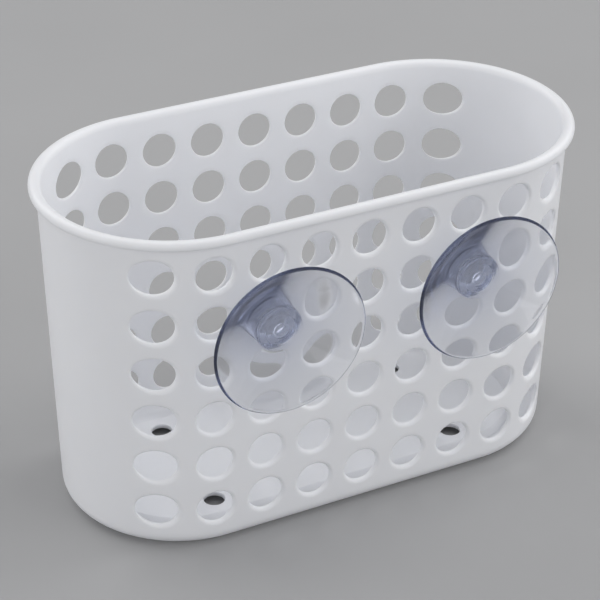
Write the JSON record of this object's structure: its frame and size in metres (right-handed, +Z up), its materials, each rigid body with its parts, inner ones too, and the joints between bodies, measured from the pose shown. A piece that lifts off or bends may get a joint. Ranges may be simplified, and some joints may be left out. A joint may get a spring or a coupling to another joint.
{
  "type": "suction cup bath basket",
  "caption": "Oblong perforated tub with round ends, a rolled rim and drain holes, carried on a smooth tiled wall by clear suction cups set in its front wall.",
  "frame": {"origin": "middle of the footprint of basket and cups, at the level that the basket stands on", "axes": "+X along the basket, -Y towards the wall that the suction cups grip, +Z up"},
  "size_m": [0.233, 0.1294, 0.146],
  "materials": {
    "white_plastic": "satin white moulded polypropylene",
    "clear_vinyl": "clear soft vinyl with a faint blue-violet tint"
  },
  "bodies": {
    "basket": {"basket": "white_plastic"},
    "cup_left": {"suction_cup_left": "clear_vinyl"},
    "cup_right": {"suction_cup_right": "clear_vinyl"}
  },
  "joints": [
    {"name": "cup_left_spin", "type": "hinge", "parent": "basket", "child": "cup_left", "pos_m": [-0.044, -0.04447, 0.105], "axis": [0, -0.9997, -0.0229], "continuous": true},
    {"name": "cup_right_spin", "type": "hinge", "parent": "basket", "child": "cup_right", "pos_m": [0.044, -0.04447, 0.105], "axis": [0, -0.9997, -0.0229], "continuous": true}
  ]
}
